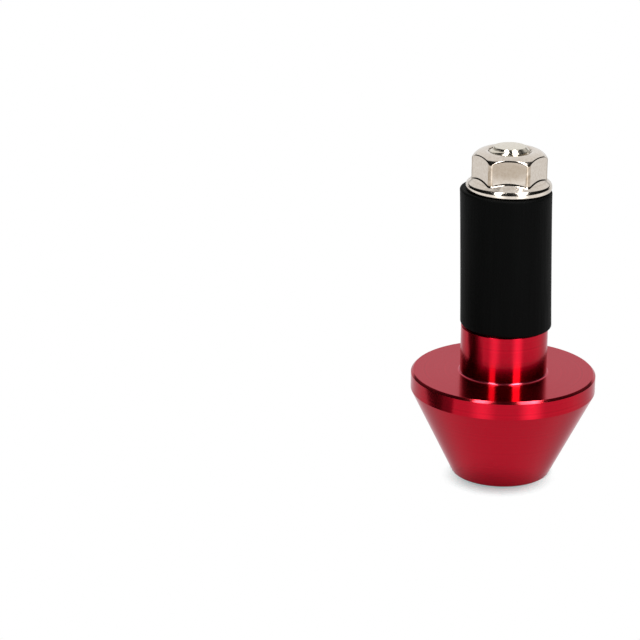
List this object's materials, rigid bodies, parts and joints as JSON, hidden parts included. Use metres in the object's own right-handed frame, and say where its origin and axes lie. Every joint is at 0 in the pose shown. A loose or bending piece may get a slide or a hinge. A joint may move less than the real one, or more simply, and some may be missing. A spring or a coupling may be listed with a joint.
{
  "type": "bar end weight",
  "caption": "Tapered red anodised handlebar end weight with a stepped neck and a rubber sleeve that a through bolt and flange nut squeeze to grip inside the bar.",
  "frame": {"origin": "centre of the head's small end, on the surface that the part stands on", "axes": "+Z along the part's axis, from the small end up to the nut; a flat of the nut faces -Y"},
  "size_m": [0.036, 0.036, 0.0661],
  "materials": {
    "red_anodised": "gloss",
    "black_rubber": "matte",
    "plated_nut": "gloss",
    "plated_bolt": "gloss"
  },
  "bodies": {
    "head": {"weight_head": "red_anodised", "rubber_sleeve": "black_rubber"},
    "bolt": {"clamp_bolt": "plated_bolt"},
    "nut": {"flange_nut": "plated_nut"}
  },
  "joints": [
    {"name": "bolt_turn", "type": "hinge", "parent": "head", "child": "bolt", "pos_m": [0, 0, 0.0108], "axis": [0, 0, 1], "range_deg": [0, 720]},
    {"name": "nut_draw", "type": "slide", "parent": "head", "child": "nut", "axis": [0, 0, -1], "range_m": [0, 0.0025], "deforming": ["rubber_sleeve"]}
  ],
  "couplings": [
    {"joint": "nut_draw", "follows": "bolt_turn", "m_per_rad": 0.00019894}
  ]
}
